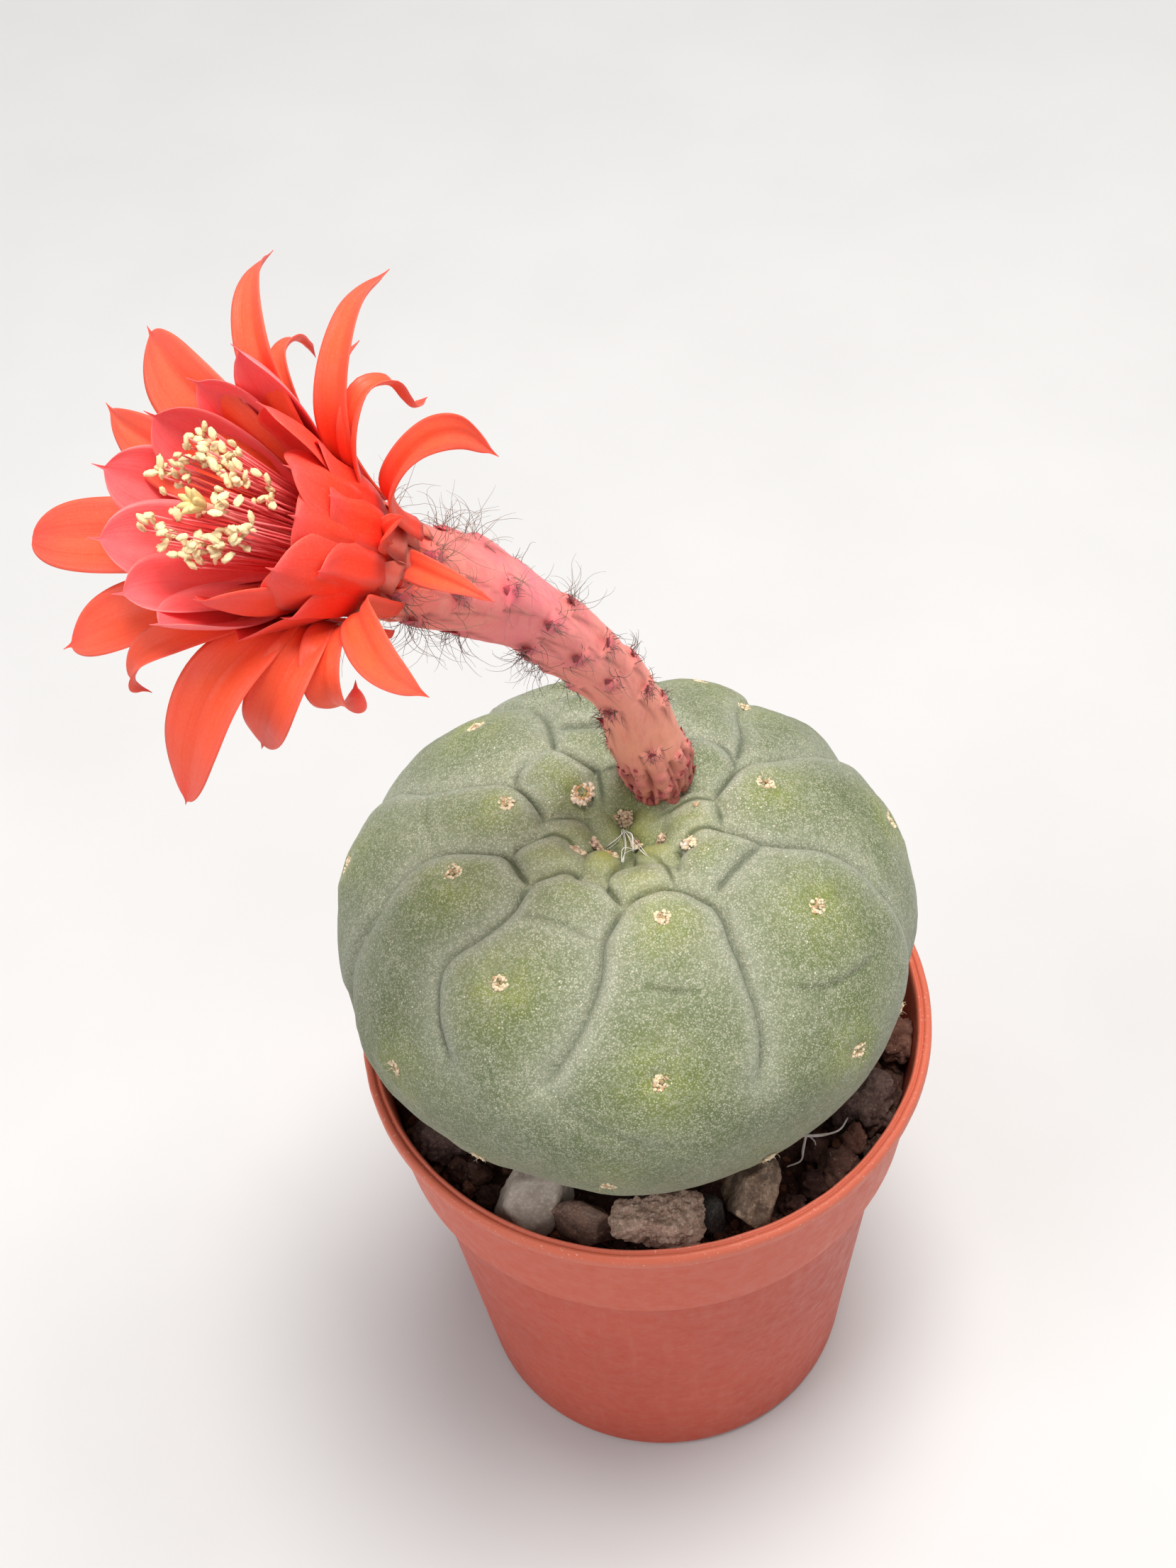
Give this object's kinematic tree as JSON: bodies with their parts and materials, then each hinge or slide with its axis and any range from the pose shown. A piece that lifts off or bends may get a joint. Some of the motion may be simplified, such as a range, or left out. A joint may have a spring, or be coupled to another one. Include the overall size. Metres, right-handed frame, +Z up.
{
  "type": "potted flowering globular cactus",
  "caption": "Small ribless globular cactus with tubercled skin in a round nursery pot with soil and stones, bearing one long-tubed open flower that leans to one side.",
  "frame": {"origin": "centre of the pot's flat base, on the face it stands on", "axes": "+Z up along the pot's axis; the flower leans towards -X and a little towards -Y; +X to the right seen from -Y"},
  "size_m": [0.0826, 0.067, 0.1692],
  "materials": {
    "pot": "satin moulded terracotta-coloured plastic, fine scuffs",
    "potting_soil": null,
    "stone_grey": "rough pale grey pebble",
    "stone_brown_wedge": "rough dark brown stone",
    "stone_pink_granular": "granular pinkish brown chip",
    "stone_banded": "beige stone with brown bands",
    "stone_dark": "dark grey stone",
    "clod_right": "crumbly peat clod",
    "clod_left": "crumbly peat clod",
    "stone_rear": "rough pale brown pebble",
    "clod_rear": "crumbly peat clod",
    "cactus_body": null,
    "flower_tube": null,
    "inner_tepals": null,
    "outer_tepals": null,
    "stamens": null,
    "pistil": null
  },
  "bodies": {
    "root": {"pot": "pot", "potting_soil": "potting_soil", "stone_grey": "stone_grey", "stone_brown_wedge": "stone_brown_wedge", "stone_pink_granular": "stone_pink_granular", "stone_banded": "stone_banded", "stone_dark": "stone_dark", "clod_right": "clod_right", "clod_left": "clod_left", "stone_rear": "stone_rear", "clod_rear": "clod_rear", "cactus_body": "cactus_body", "flower_tube": "flower_tube", "inner_tepal_a": "inner_tepals", "inner_tepal_b": "inner_tepals", "inner_tepal_c": "inner_tepals", "inner_tepal_d": "inner_tepals", "inner_tepal_e": "inner_tepals", "inner_tepal_f": "inner_tepals", "inner_tepal_g": "inner_tepals", "inner_tepal_h": "inner_tepals", "inner_tepal_i": "inner_tepals", "inner_tepal_j": "inner_tepals", "inner_tepal_k": "inner_tepals", "inner_tepal_l": "inner_tepals", "outer_tepal_a": "outer_tepals", "outer_tepal_b": "outer_tepals", "outer_tepal_c": "outer_tepals", "outer_tepal_d": "outer_tepals", "outer_tepal_e": "outer_tepals", "outer_tepal_f": "outer_tepals", "outer_tepal_g": "outer_tepals", "outer_tepal_h": "outer_tepals", "outer_tepal_i": "outer_tepals", "outer_tepal_j": "outer_tepals", "outer_tepal_k": "outer_tepals", "outer_tepal_l": "outer_tepals", "outer_tepal_m": "outer_tepals", "outer_tepal_n": "outer_tepals", "outer_tepal_o": "outer_tepals", "outer_tepal_p": "outer_tepals", "outer_tepal_q": "outer_tepals", "pistil": "pistil", "stamens": "stamens"}
  },
  "joints": []
}
